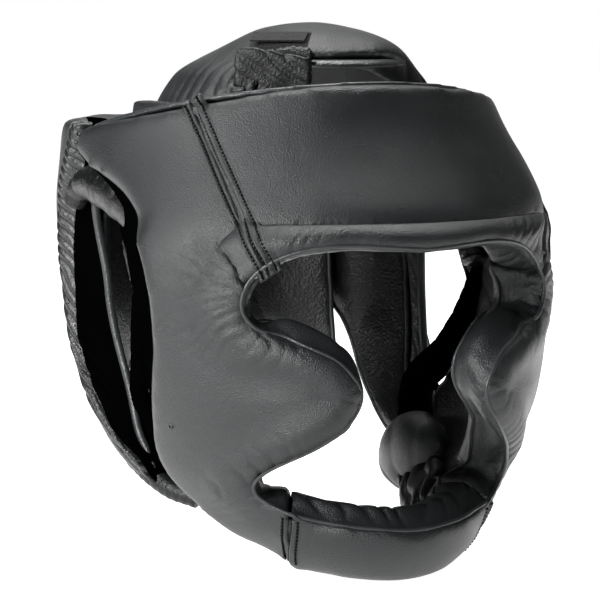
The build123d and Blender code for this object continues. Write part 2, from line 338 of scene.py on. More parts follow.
# ---------------------------------------------------------------- surfaces to lay things on
def surface_of(*objects):
    """A search tree over several meshes, in mm."""
    points, faces, start = [], [], 0
    for obj in objects:
        points.append(points_of(obj.data))
        faces.append(quads_of(obj.data) + start)
        start += len(points[-1])
    return BVHTree.FromPolygons(np.concatenate(points).tolist(), np.concatenate(faces).tolist())


def lay_on(tree, points, outward, reach=14.0):
    """Moves each point along its outward direction onto the surface."""
    laid = []
    for p, n in zip(points, outward):
        hit = tree.ray_cast(Vector(p + n * reach), Vector(-n), 2 * reach)
        laid.append(np.array(hit[0]) if hit[0] is not None else p)
    return np.array(laid)


def unit(v):
    return v / np.linalg.norm(v, axis=-1, keepdims=True)


def even(path, pitch):
    """The path again, with points this far apart."""
    steps = np.linalg.norm(np.diff(path, axis=0), axis=1)
    length = np.concatenate([[0], np.cumsum(steps)])
    count = max(2, int(round(length[-1] / pitch)) + 1)
    at = np.linspace(0, length[-1], count)
    return np.stack([np.interp(at, length, path[:, i]) for i in range(3)], axis=1)


def smooth_path(path, rounds, closed=False):
    path = path.copy()
    for _ in range(rounds):
        if closed:
            path = path / 2 + (np.roll(path, 1, 0) + np.roll(path, -1, 0)) / 4
        else:
            path[1:-1] = path[1:-1] / 2 + (path[:-2] + path[2:]) / 4
    return path


def grid_faces(rows, columns):
    """Quads between rows of points."""
    faces = []
    for i in range(rows - 1):
        for j in range(columns - 1):
            a, b = i * columns + j, (i + 1) * columns + j
            faces.append((a, b, b + 1, a + 1))
    return faces


def ribbon(name, tree, path, outward, profile, sink=1.2):
    """A closed band laid on the surface; the profile gives (offset across, height above)."""
    tangent = unit(np.gradient(path, axis=0))
    across = unit(np.cross(outward, tangent))
    rows = []
    for offset, height in profile:
        laid = lay_on(tree, path + across * offset, outward)
        laid = smooth_path(laid, 2)
        rows.append(laid + outward * height)
    under = [rows[i] - outward * (profile[i][1] + sink) for i in (-1, 0)]
    rows = np.array(rows + under)
    points = rows.transpose(1, 0, 2).reshape(-1, 3)
    columns = len(rows)
    faces = grid_faces(len(path), columns)
    for i in range(len(path) - 1):
        a, b = i * columns, (i + 1) * columns
        faces.append((a + columns - 1, b + columns - 1, b, a))
    faces.append(tuple(range(columns)))
    faces.append(tuple(range(len(points) - 1, len(points) - columns - 1, -1)))
    obj = mesh_from(name, points, faces)
    obj.data.shade_smooth()
    return obj


def tube(name, path, radius, closed=False, sides=8):
    """A round cord along the path, as a closed mesh. Radius may vary along it."""
    count = len(path)
    radii = np.broadcast_to(radius, count)
    ahead = np.roll(path, -1, 0) - np.roll(path, 1, 0) if closed else np.gradient(path, axis=0)
    tangent = unit(ahead)
    normal = np.cross(tangent[0], (0.3, 0.2, 0.93))
    rings = []
    for p, t, r in zip(path, tangent, radii):
        normal = unit(normal - t * (normal @ t))
        other = np.cross(t, normal)
        angles = np.arange(sides + 1) * math.tau / sides
        rings.append([p + r * (normal * math.cos(w) + other * math.sin(w)) for w in angles[:-1]])
    points = np.array(rings).reshape(-1, 3)
    faces = []
    for i in range(count if closed else count - 1):
        for j in range(sides):
            k = (j + 1) % sides
            a, b = i * sides, (i + 1) % count * sides
            faces.append((a + j, b + j, b + k, a + k))
    if not closed:
        faces.append(tuple(range(sides)))
        faces.append(tuple(range(len(points) - 1, len(points) - sides - 1, -1)))
    obj = mesh_from(name, points, faces)
    obj.data.shade_smooth()
    return obj


def joined(name, objects):
    """One object from several meshes."""
    points, faces, start = [], [], 0
    for obj in objects:
        points.append(points_of(obj.data))
        faces += [[i + start for i in p.vertices] for p in obj.data.polygons]
        start += len(points[-1])
        bpy.data.objects.remove(obj)
    obj = mesh_from(name, np.concatenate(points), faces)
    obj.data.shade_smooth()
    return obj


STITCH_LENGTH, STITCH_GAP, STITCH_RADIUS = 1.25, 0.6, 0.5
STITCH_STEP = 0.25


def stitches(name, tree, path, outward, offset):
    """Short threads along a line at this offset from the path, each dipping in at its ends."""
    tangent = unit(np.gradient(path, axis=0))
    across = unit(np.cross(outward, tangent))
    line = smooth_path(lay_on(tree, path + across * offset, outward), 4)
    fine = even(line, STITCH_STEP)
    at, known = np.linspace(0, 1, len(fine)), np.linspace(0, 1, len(line))
    normal = np.stack([np.interp(at, known, outward[:, i]) for i in range(3)], axis=1)
    per_stitch = round((STITCH_LENGTH + STITCH_GAP) / STITCH_STEP)
    on = round(STITCH_LENGTH / STITCH_STEP)
    pieces = []
    for i in range(0, len(fine) - per_stitch, per_stitch):
        run = fine[i : i + on + 1]
        arch = np.sin(np.linspace(0, math.pi, len(run)))[:, None]
        run = run + normal[i : i + on + 1] * (arch * STITCH_RADIUS * 1.2 - STITCH_RADIUS * 0.5)
        pieces.append(tube("stitch", run, STITCH_RADIUS * (0.6 + 0.4 * arch[:, 0]), sides=6))
    return joined(name, pieces)


# ---------------------------------------------------------------- linings and the piping at their edges
def chains(pairs):
    """Closed loops from directed boundary edges."""
    after = dict(pairs)
    loops = []
    while after:
        start, here = next(iter(after.items()))
        del after[start]
        loop = [start]
        while here in after:
            loop.append(here)
            here = after.pop(here)
        loops.append(loop)
    return loops


LINING_LIFT = 0.35
LINING_THICKNESS = 1.4


def lining_sheet(name, pad, inside, smoothing=8, blur=8):
    """A thin closed layer over part of a pad, and the loops along its edge. inside is above 0 there."""
    points, normals, quads = points_of(pad.data), normals_of(pad.data), quads_of(pad.data)
    edges = edges_of(pad.data)
    count = np.bincount(edges.ravel(), minlength=len(points)).astype(float)
    field = np.clip(inside, -4, 4)[:, None]
    for _ in range(blur):
        field = neighbour_mean(field, edges, count)
    inside = field[:, 0]
    quads = quads[(inside[quads] > 0).all(axis=1)]
    sides = np.concatenate([quads[:, [i, (i + 1) % 4]] for i in range(4)])
    known = set(map(tuple, sides.tolist()))
    border = [(a, b) for a, b in sides.tolist() if (b, a) not in known]
    used, compact = np.unique(quads, return_inverse=True)
    quads = compact.reshape(-1, 4)
    number = {int(v): i for i, v in enumerate(used)}
    border = [(number[a], number[b]) for a, b in border]
    top = points[used] + normals[used] * LINING_LIFT
    loops = [loop for loop in chains(border) if len(loop) > 12]
    for loop in loops:
        top[loop] = smooth_path(top[loop], smoothing, closed=True)
    bottom = top - normals[used] * LINING_THICKNESS
    count = len(used)
    faces = quads.tolist() + (quads[:, ::-1] + count).tolist()
    faces += [[b, a, a + count, b + count] for a, b in border]
    sheet = mesh_from(name, np.concatenate([top, bottom]), faces)
    sheet.data.shade_smooth()
    return sheet, [top[loop] for loop in loops]


SHORTEST_LOOP = 30


def piping(name, loops, radius):
    """Cords along the loops that are long enough to be an edge."""
    cords = []
    for loop in loops:
        if len(loop) > SHORTEST_LOOP:
            cords.append(tube("cord", smooth_path(loop, 6, closed=True)[::2], radius, closed=True))
    return joined(name, cords)


# ---------------------------------------------------------------- materials
def texture(material, kind, scale, **values):
    """A procedural texture in the piece's own space."""
    nodes, links = material.node_tree.nodes, material.node_tree.links
    node = nodes.new(kind)
    node.inputs["Scale"].default_value = scale
    for key, value in values.items():
        node.inputs[key].default_value = value
    if "position" not in nodes:
        nodes.new("ShaderNodeTexCoord").name = "position"
    links.new(nodes["position"].outputs["Object"], node.inputs["Vector"])
    return node


def bump_over(material, height, strength, distance, below=None):
    """A bump up to this distance in mm, on top of the normal of an earlier one where there is one."""
    nodes, links = material.node_tree.nodes, material.node_tree.links
    bump = nodes.new("ShaderNodeBump")
    bump.inputs["Strength"].default_value = strength
    bump.inputs["Distance"].default_value = distance * MM
    links.new(height, bump.inputs["Height"])
    if below is not None:
        links.new(below, bump.inputs["Normal"])
    return bump.outputs["Normal"]


def calculated(material, operation, *terms):
    """The result of a math node; each term is a number or another node's output."""
    node = material.node_tree.nodes.new("ShaderNodeMath")
    node.operation = operation
    for socket, term in zip(node.inputs, terms):
        if isinstance(term, float):
            socket.default_value = term
        else:
            material.node_tree.links.new(term, socket)
    return node.outputs[0]


def ramp(tree, value, low, high, start, end, kind="LINEAR"):
    """A value that goes from start to end as another goes from low to high."""
    node = tree.nodes.new("ShaderNodeMapRange")
    node.interpolation_type = kind
    for key, number in (("From Min", low), ("From Max", high), ("To Min", start), ("To Max", end)):
        node.inputs[key].default_value = number
    tree.links.new(value, node.inputs["Value"])
    return node.outputs["Result"]


def plain(name, colour, roughness):
    """A material of one colour, and its shader."""
    material = bpy.data.materials.new(name)
    material.use_nodes = True
    shader = material.node_tree.nodes["Principled BSDF"]
    shader.inputs["Base Color"].default_value = (*colour, 1)
    shader.inputs["Roughness"].default_value = roughness
    return material, shader


# How much the pores vary the roughness.
SPECKLE = 0.2


def leather(name, colour, roughness, grain_mm, grain, wrinkle=0.06, specular=0.5):
    """Grained black leather: pebbles, pores, faint wrinkles and a duller, dustier patchiness."""
    material, shader = plain(name, colour, roughness)
    shader.inputs["Specular IOR Level"].default_value = specular
    nodes, links = material.node_tree.nodes, material.node_tree.links
    pebble = texture(material, "ShaderNodeTexVoronoi", 1000.0 / grain_mm)
    pebble.feature = "SMOOTH_F1"
    fine = texture(material, "ShaderNodeTexNoise", 1000.0 / (grain_mm * 0.6), Detail=3.0).outputs["Fac"]
    folds = texture(material, "ShaderNodeTexNoise", 160.0, Detail=4.0, Distortion=1.6).outputs["Fac"]
    broad = texture(material, "ShaderNodeTexNoise", 26.0, Detail=6.0).outputs["Fac"]
    grains = calculated(material, "ADD", pebble.outputs["Distance"], fine)
    wrinkled = bump_over(material, folds, wrinkle, 1.2)
    links.new(bump_over(material, grains, grain, grain_mm * 0.35, wrinkled), shader.inputs["Normal"])
    patches = ramp(material.node_tree, broad, 0.3, 0.7, roughness - 0.05, roughness + 0.07)
    patches = calculated(material, "SUBTRACT", patches, SPECKLE / 2)
    speckled = calculated(material, "MULTIPLY_ADD", fine, SPECKLE, patches)
    links.new(speckled, shader.inputs["Roughness"])
    shade = nodes.new("ShaderNodeMixRGB")
    shade.inputs["Color1"].default_value = (*[c * 0.7 for c in colour], 1)
    shade.inputs["Color2"].default_value = (*[c * 1.35 for c in colour], 1)
    links.new(broad, shade.inputs["Fac"])
    links.new(shade.outputs["Color"], shader.inputs["Base Color"])
    return material


def fuzzy(name, colour):
    """Hook and loop: short dark pile."""
    material, shader = plain(name, colour, 0.95)
    shader.inputs["Sheen Weight"].default_value = 0.05
    pile = texture(material, "ShaderNodeTexVoronoi", 900.0)
    pile_normal = bump_over(material, pile.outputs["Distance"], 0.9, 0.6)
    material.node_tree.links.new(pile_normal, shader.inputs["Normal"])
    return material


COVER = leather("cover_leather", (0.0090, 0.0101, 0.0107), 0.38, 0.6, 1.0)
# The lining's colour is darker than the cover's as painted shade inside the headgear.
LINING = leather("lining_leather", (0.0030, 0.0033, 0.0035), 0.36, 1.1, 0.5, wrinkle=0.3, specular=0.35)
EDGE = leather("edge_leather", (0.020, 0.0222, 0.0232), 0.34, 0.9, 0.5)
# The straps' colour is darker than the cover's as painted shade.
STRAP = leather("strap_leather", (0.0038, 0.0042, 0.0044), 0.42, 1.0, 0.6, specular=0.3)
ROLL = leather("ear_roll", (0.0062, 0.0068, 0.0072), 0.34, 0.9, 0.6, wrinkle=0.3)
# The ear hood's colour is darker than the cover's as painted shade over the ear hole.
HOOD = leather("ear_hood", (0.0026, 0.0029, 0.0031), 0.30, 1.0, 0.5, wrinkle=0.4, specular=0.4)
# Painted shade: the ear holes lie in deep shade, so the sheets and the roll set in them get a near-black
# colour with no specular.
PAINTED_SHADE = leather("ear_hole_painted_shade", (0.0005, 0.0005, 0.0005), 0.9, 1.2, 0.4, specular=0.0)
THREAD = leather("thread", (0.0012, 0.0012, 0.0013), 0.8, 0.4, 0.5, specular=0.1)
PILE = fuzzy("hook_and_loop", (0.0035, 0.0037, 0.0039))
METAL = plain("eyelet_metal", (0.02, 0.02, 0.022), 0.35)[0]


def dress(obj, body, slot, material, *nodes, fill=None):
    """Material, body and the CAD nodes that the piece stands for; the slot is not used."""
    obj.data.materials.clear()
    obj.data.materials.append(material)
    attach(obj, body)
    if nodes:
        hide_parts(*nodes)
    return obj


def soft_piece(name, body, slot, material, nodes, fill=None, **shaping):
    """A soft pad that stands for all the nodes it is made from."""
    return dress(soft_pad(name, nodes, **shaping), body, slot, material, *nodes, fill=fill)


# ---------------------------------------------------------------- front panels
def held(distance, low=2.0, high=9.0):
    """Keeps the points within a few mm of a seam where they are."""
    return smoothstep(np.abs(distance), low, high)


def forehead_free(points):
    """How freely each point may be rounded off: not at all at the seams, and a little at the rim."""
    rim = 0.4 + 0.6 * held(points[:, 2] - rim_z(points[:, 1]) + 3)
    return held(temple_distance(points)) * held(points[:, 2] - BROW_Z) * rim


def brow_free(points):
    return held(temple_distance(points)) * held(points[:, 2] - BROW_Z)


def side_free(points):
    temple = np.where(points[:, 2] > SIDE_TOP_Z, held(temple_distance(points)), 1.0)
    chin = np.where(points[:, 2] < CHIN_TOP_Z, held(chin_distance(points)), 1.0)
    rim = 0.4 + 0.6 * held(points[:, 2] - rim_z(points[:, 1]) + 3)
    ear = 1 - 0.85 * smoothstep(points[:, 1], -62, -40)
    return temple * chin * rim * ear


def chin_free(points):
    return held(chin_distance(points))


def outer_share(points):
    """1 on the outside of a panel and 0 on its lining side."""
    return 1 - smoothstep(depth_of(points), 4, 14)


def edge_gathers(points, seed):
    """Puckers across the face opening's edge, strongest at its tight corners."""
    gap, along = face_edge_position(points)
    wander = noise(points, 14, seed) * 1.4 + noise(points, 5, seed + 1) * 0.5
    window = np.zeros(len(points))
    for middle, width, strength in ((82, 22, 1.0), (150, 12, 0.7), (196, 20, 1.0), (55, 14, 0.5)):
        window += strength * bell(along, middle, width)
    reach = 1 - smoothstep(gap, 6, 22)
    front = 1 - smoothstep(points[:, 1], -66, -40)
    return crease(along * 0.62 + wander + gap * 0.05, 2.2) * window * reach * front


def eye_fan(points, seed):
    """Fine pull lines that spread from the eye's outer corner towards the ear."""
    out = np.hypot(points[:, 0] - EYE_CORNER[0], points[:, 1] - EYE_CORNER[1])
    rise = points[:, 2] - EYE_CORNER[2]
    angle = np.arctan2(rise, out + 6)
    window = (1 - smoothstep(out, 18, 52)) * smoothstep(out, 2, 8) * (1 - smoothstep(np.abs(rise), 16, 34))
    wander = noise(points, 9, seed) * 0.8
    return crease(angle * 15 + wander + out * 0.03, 2.0) * window


def side_shape(sign):
    def shape(points, normals):
        q = points * np.array([-sign, 1, 1])
        outside = outer_share(q)
        gap, _ = face_edge_position(q)
        front = 1 - smoothstep(q[:, 1], -66, -40)
        lift = 0.7 * noise(points, 46, 3) + 0.25 * noise(points, 17, 4)
        ridge = (1.3 * bell(gap, 9, 6) - 0.8 * bell(gap, 21, 7)) * front
        cheek = 2.2 * near(q, (-50, -104, -45), (30, 30, 30))
        jaw = -1.2 * near(q, (-66, -72, -92), (26, 40, 14))
        puckers = 0.9 * edge_gathers(q, 11) + 0.8 * eye_fan(q, 21)
        seam = -0.5 * bell(temple_distance(q), 0, 4) * smoothstep(q[:, 2], 4, 14)
        folds = crease(q[:, 2] * 0.16 + noise(points, 24, 6) * 1.5, 2)
        lining = (1 - outside) * (0.9 * noise(points, 20, 5) + 0.8 * folds)
        return outside * (lift + ridge + cheek + jaw + puckers + seam + temple_fill(points)) + 0.6 * lining
    return shape


def temple_fill(points):
    """Extra padding that squares the left temple off."""
    left = smoothstep(points[:, 0], 34, 74) * (1 - smoothstep(points[:, 1], -30, 20))
    return 5.0 * left * bell(points[:, 2], 44, 30) * smoothstep(points[:, 2], 16, 34)


def overlap_brow_end(points, share):
    """Slides a pad's edge across the temple seam below the brow line, so that the pads meet."""
    low = 1 - smoothstep(points[:, 2], BROW_Z - 2, BROW_Z + 2)
    side = np.where(points[:, 0] < 0, -1.0, 1.0)
    return turned(points, side * share * bell(temple_distance(points), 0, 7) * low)


def side_warp(points):
    """Fits a side pad to the pads beside it."""
    return chin_warp(seam_warp(overlap_brow_end(points, -0.020)))


def close_brow(points):
    """Lets the forehead pad and the brow roll meet without a gap."""
    front = 1 - smoothstep(depth_of(points), 6, 16)
    above = smoothstep(points[:, 2], BROW_Z - 0.4, BROW_Z + 0.4)
    drop = -2.2 * above + 1.0 * (1 - above)
    lowered = points.copy()
    lowered[:, 2] += drop * bell(points[:, 2], BROW_Z, 4.5) * front
    return seam_warp(overlap_brow_end(lowered, 0.034))


def forehead_shape(points, normals):
    outside = outer_share(points)
    lift = 0.6 * noise(points, 50, 3) + 0.2 * noise(points, 15, 4)
    middle = 1.2 * bell(points[:, 2], 66, 22)
    seam = -0.5 * bell(temple_distance(points), 0, 4) - 0.7 * bell(points[:, 2], BROW_Z, 5)
    lining = (1 - outside) * 0.7 * noise(points, 18, 5)
    return outside * (lift + middle + seam + temple_fill(points)) + lining


def brow_shape(points, normals):
    outside = outer_share(points)
    inner = smoothstep(-temple_distance(points), 2, 22)
    seam = 0.6 * bell(points[:, 2], BROW_Z, 3)
    roll = 2.6 * inner * bell(points[:, 2], 29, 4.5) - seam + 0.4 * temple_fill(points)
    below_seam = 1 - smoothstep(points[:, 2], BROW_Z - 4, BROW_Z)
    roll = roll - 1.7 * smoothstep(temple_distance(points), -7, 0) * below_seam
    puckers = 0.8 * edge_gathers(points, 31)
    lift = 0.3 * noise(points, 24, 8)
    return outside * (roll + lift) + puckers


def chin_shape(points, normals):
    outside = outer_share(points)
    lift = 0.5 * noise(points, 30, 9) + 1.4 * bell(points[:, 2], -104, 9)
    pull = 0.8 * crease(np.abs(points[:, 0]) * 0.55 + noise(points, 12, 12) * 1.2, 2.2)
    near_seam = bell(chin_distance(points), 0, 8) * (1 - smoothstep(points[:, 2], -98, -88)) * 0.6
    rim = (1 - outside) * 1.4 * crease(points[:, 0] * 0.33 + noise(points, 15, 13) * 1.8, 1.6)
    return outside * (lift + pull * near_seam) + rim


def chin_warp(points):
    """The chin bar's lining side stands higher than its front edge, and so does the side pads' end there."""
    share = smoothstep(depth_of(points), 4, 15) * smoothstep(points[:, 2], -108, -92)
    share = share * (1 - smoothstep(chin_distance(points), 0, 17))
    return points + np.array([0, 0, 7.5]) * share[:, None]


FORWARD = {}


def rim_tuck(points):
    """Sets the rim binding a little in and down, behind the pads' rounded tops."""
    return points - outward_at(points) * 4.2 - np.array([0, 0, 1.8])


def front_pad(key, name, padding, linings, fill=0.8, **shaping):
    """One front panel. Its lining takes part in its shape, and gets a sheet of its own later."""
    pad = soft_pad(name, padding + linings, **shaping)
    FORWARD[key] = dress(pad, "headpiece", "cover_leather", COVER, *padding, fill=fill)


def make_front():
    front_pad("forehead", "forehead_pad", ["forehead_cover", "forehead_foam"], ["forehead_lining"],
              free=forehead_free, shape=forehead_shape, warp=close_brow)
    front_pad("brow", "brow_roll_pad", ["brow_roll"], [], fill=0.9,
              free=brow_free, shape=brow_shape, warp=close_brow)
    front_pad("chin", "chin_pad", ["chin_cover", "chin_foam"], ["chin_lining"],
              free=chin_free, shape=chin_shape, warp=chin_warp)
    for side, sign in SIDES.items():
        padding = [f"side_cover_{side}", f"side_foam_{side}", f"cheek_pad_{side}"]
        front_pad(side, f"side_pad_{side}", padding, [f"side_lining_{side}"],
                  free=side_free, shape=side_shape(sign), warp=side_warp)
    soft_piece("rim_binding_edge", "headpiece", "edge_leather", EDGE, ["rim_binding"],
               voxel=1.3, rounds=4, finer=0, warp=rim_tuck)


def inward(points, normals):
    """How squarely each point faces the head: 1 when it looks straight inwards."""
    return -(normals * outward_at(points)).sum(axis=1)


def inner_side(pad, depth, facing):
    """Above 0 on the side of a pad that faces the head, deeper than this below the shell."""
    points, normals = points_of(pad.data), normals_of(pad.data)
    return np.minimum(depth_of(points) - depth, (inward(points, normals) - facing) * 10)


def ear_side(pad):
    """Above 0 where a side pad turns its face to the ear hole; a near-black sheet of painted shade goes
    there.
    """
    points, normals = points_of(pad.data), normals_of(pad.data)
    facing = np.minimum((normals[:, 1] - 0.08) * 12, (0.55 - inward(points, normals)) * 10)
    place = np.minimum(points[:, 2] + 74, points[:, 1] + 62)
    return np.minimum(np.minimum(facing, place), np.minimum(depth_of(points) - 2.4, 66 - points[:, 2]))


# The left bolster's centre and radii; the right one sits higher, clear of the side panel's lower edge.
BOLSTER = (54.0, -8.0, -75.0)
BOLSTER_RADII = (13.0, 25.0, 19.0)
BOLSTER_RIGHT_LIFT = 9.0
BALL_RINGS, BALL_STEPS = 70, 110


def unit_ball():
    """Points and faces of a ball with a radius of 1."""
    down = np.linspace(0.02, math.pi - 0.02, BALL_RINGS)
    around = np.linspace(0, math.tau, BALL_STEPS + 1)[:-1]
    down, around = np.meshgrid(down, around, indexing="ij")
    ball = [np.sin(down) * np.cos(around), np.sin(down) * np.sin(around), np.cos(down)]
    ball = np.stack(ball, axis=-1).reshape(-1, 3)
    faces = []
    for i in range(BALL_RINGS - 1):
        for j in range(BALL_STEPS):
            a, b = i * BALL_STEPS + j, i * BALL_STEPS + (j + 1) % BALL_STEPS
            faces.append((a, a + BALL_STEPS, b + BALL_STEPS, b))
    faces.append(tuple(range(BALL_STEPS)))
    faces.append(tuple(range(len(ball) - 1, len(ball) - BALL_STEPS - 1, -1)))
    return ball, faces


def make_bolsters():
    """The puffy jaw bolsters inside the side panels, folded at their lower end."""
    ball, faces = unit_ball()
    for side, sign in SIDES.items():
        points = np.array(BOLSTER) + ball * np.array(BOLSTER_RADII)
        folds = crease((points[:, 2] * 0.5 - points[:, 1]) * 0.22 + noise(points, 17, 91) * 1.8, 1.8)
        folds *= 0.2 + 0.8 * (1 - smoothstep(points[:, 2], BOLSTER[2] - 15, BOLSTER[2] - 2))
        points += ball * (2.0 * folds + 1.3 * noise(points, 20, 92) + 0.3 * noise(points, 6, 93))[:, None]
        points[:, 2] += BOLSTER_RIGHT_LIFT * (sign < 0)
        points[:, 1] -= 0.25 * (points[:, 2] - BOLSTER[2])
        bolster = mesh_from(f"jaw_bolster_{side}", points * np.array([sign, 1, 1]), faces)
        bolster.data.shade_smooth()
        dress(bolster, "headpiece", "lining_leather", COVER, fill=0.8)


def make_front_linings():
    """Linings on each pad's inner side, the piping round the side linings, and a near-black sheet of painted
    shade over the ear holes' front.
    """
    linings = {key: f"{key}_lining" for key in ("forehead", "chin")}
    linings |= {side: f"side_lining_{side}" for side in SIDES}
    for key, node in linings.items():
        pad = FORWARD[key]
        sheet, found = lining_sheet(f"{node}_sheet", pad, inner_side(pad, 11.0, 0.6))
        dress(sheet, "headpiece", "lining_leather", LINING, node)
        if key in SIDES:
            # A near-black sheet of painted shade over the faces that turn to the ear hole.
            dark, _ = lining_sheet(f"ear_front_painted_shade_{key}", pad, ear_side(pad), smoothing=30, blur=26)
            dress(dark, "headpiece", "lining_leather", PAINTED_SHADE)
            cord = piping(f"side_piping_{key}", found, 0.9)
            dress(cord, "headpiece", "edge_leather", EDGE)


def face_loop(grow, pitch=1.5):
    """The face opening's edge seen from the front, grown outwards, with every y at 0."""
    right = np.array(FACE_EDGE, float)
    left = right[::-1][1:-1] * np.array([-1, 1])
    loop = np.concatenate([right, left, right[:1]])
    loop = even(np.insert(loop, 1, 0, axis=1), pitch)[:-1]
    loop = smooth_path(loop, 12, closed=True)
    ahead = unit(np.roll(loop, -1, 0) - np.roll(loop, 1, 0))
    outward = np.stack([ahead[:, 2], 0 * ahead[:, 0], -ahead[:, 0]], axis=1)
    away = loop - np.array([0, 0, -30.0])
    outward *= np.sign((outward * away).sum(axis=1))[:, None]
    outward = unit(smooth_path(outward, 6, closed=True))
    return loop + outward * grow


def make_face_piping():
    """The bound edge that runs round the face opening, just inside the rounded pads."""
    tree = surface_of(*FORWARD.values())
    loop = face_loop(1.4)
    depth = np.full(len(loop), np.nan)
    for i, p in enumerate(loop):
        hit = tree.ray_cast(Vector((p[0], -170.0, p[2])), Vector((0, 1, 0)), 200)
        if hit[0] is not None:
            depth[i] = hit[0][1]
    known = np.flatnonzero(~np.isnan(depth))
    loop[:, 1] = np.interp(np.arange(len(loop)), known, depth[known])
    loop = smooth_path(loop, 14, closed=True)
    cord = tube("face_piping_cord", loop, 0.95, closed=True, sides=10)
    dress(cord, "headpiece", "edge_leather", EDGE, "face_binding")


# ---------------------------------------------------------------- seams
def seam_path(distance, z_values, sign, turn=lambda z, sign: 0 * z):
    """Where a seam's plane meets the shell, with the outward direction there."""
    angles = np.linspace(0.02, math.pi / 2, 400)
    path = []
    for z in z_values:
        row = shell_point(angles, np.full(len(angles), z))
        path.append(row[np.argmin(np.abs(distance(row)))])
    path = smooth_path(np.array(path), 8)
    path = turned(path, turn(path[:, 2], sign) * sign)
    path = path[path[:, 2] < rim_z(path[:, 1]) - 2.5]
    flip = np.array([sign, 1, 1])
    return path * flip, outward_at(path) * flip


# A welt's cross section, as offset across the seam and height above the leather, and its rows of thread.
SEAM_PROFILE = [
    (-5.6, -0.6), (-4.8, 0.2), (-4.2, 0.25), (-3.8, -0.5), (-3.2, -0.5), (-2.8, 0.5), (-2.0, 0.95),
    (-1.3, 0.95), (-0.7, 0.5), (-0.4, -0.5), (0.1, -0.5), (0.4, 1.0), (1.0, 1.0), (1.6, 0.35), (2.6, 0.25),
    (3.0, -0.5), (3.6, -0.5), (4.0, 0.2), (4.6, 0.15), (5.6, -0.6),
]
THREAD_ROWS = (-3.5, -0.15, 3.3)


def sew(seam, side, tree, path, outward, thread, *stands_for):
    """A welt over one seam, with its rows of thread."""
    sign = SIDES[side]
    profile = [(offset * -sign, height) for offset, height in SEAM_PROFILE]
    profile = profile if sign < 0 else profile[::-1]
    welt = ribbon(f"{seam}_welt_{side}_band", tree, path, outward, profile)
    dress(welt, "headpiece", "edge_leather", COVER, f"{seam}_welt_{side}")
    rows = [stitches("row", tree, path, outward, offset * -sign) for offset in THREAD_ROWS]
    dress(joined(thread, rows), "headpiece", "thread", THREAD, *stands_for)


def make_seams():
    temple_heights = np.arange(rim_z(-39) - 3.0, 15, -1.0)
    chin_heights = np.arange(-89.0, -110.0, -1.0)
    for side, sign in SIDES.items():
        tree = surface_of(FORWARD["forehead"], FORWARD["brow"], FORWARD[side])
        path, outward = seam_path(temple_distance, temple_heights, sign, temple_turn)
        node = f"temple_stitching_{side}"
        sew("temple", side, tree, path, outward, f"{node}_thread", node)
        tree = surface_of(FORWARD["chin"], FORWARD[side])
        path, outward = seam_path(chin_distance, chin_heights, sign)
        sew("chin", side, tree, path, outward, f"chin_stitching_{side}")


# ---------------------------------------------------------------- rear flaps, ear caps and neck straps
def rear_free(points):
    """Only the flaps' free ends are fully rounded off."""
    return 0.3 + 0.7 * smoothstep(points[:, 1], 60, 80)


def roll_shape(sign):
    """Slanting gathers round the roll behind one ear hole."""
    def shape(points, normals):
        q = points * np.array([-sign, 1, 1])
        outside = 1 - smoothstep(depth_of(q), 6, 16)
        slant = q[:, 2] - q[:, 1] * 0.9 + noise(points, 11, 41) * 3.0
        gathers = crease(slant * 0.55, 1.5) * (0.6 + 0.4 * noise(points, 16, 42))
        return 2.5 * gathers * (0.2 + 0.8 * outside) + 0.6 * noise(points, 12, 43)
    return shape


# Routes of the right ear's trim, from the top down. The soft rolls have their radius after x, y and z.
EAR_STRIPE = [
    (-84, 38, 46), (-84, 36, 30), (-83, 31, 14), (-82, 22, -13), (-79, 16, -38), (-76, 9, -60),
    (-72, -3, -75),
]
EAR_HOOD = [
    (-91, 44, 38, 5.0), (-90, 42, 44, 7.5), (-88, 37, 48, 9.5), (-87, 27, 49, 11.0),
    (-84, 12, 46, 12.0), (-80, -4, 40, 11.0), (-77, -18, 28, 9.0), (-75, -26, 12, 6.0),
]
EAR_FRONT = [
    (-84, -22, 16, 5.0), (-83, -16, 0, 6.5), (-80, -9, -16, 7.0), (-75, 1, -32, 7.5),
    (-69, 15, -44, 8.0), (-66, 15, -56, 8.0), (-63, 9, -68, 7.0), (-61, 0, -78, 5.0),
]
JAW_STRAP = [
    (-75, 27, -64, 3.0), (-74, 20, -71, 5.5), (-71, 10, -78, 5.0), (-66, -2, -85, 4.5), (-58, -14, -89, 4.0),
]


def soft_roll(name, route, flip):
    """A soft, slightly wrinkled roll along a route."""
    route = np.array(route, float)
    fine = smooth_path(even(route[:, :3], 0.7), 40)
    at = np.linspace(0, 1, len(fine))
    radii = np.interp(at, np.linspace(0, 1, len(route)), route[:, 3])
    radii = radii * (1 + 0.05 * noise(fine, 7, 81)) + 0.3 * crease(at * 40 + noise(fine, 12, 82) * 2, 1.6)
    return tube(name, fine * flip, radii, sides=48)


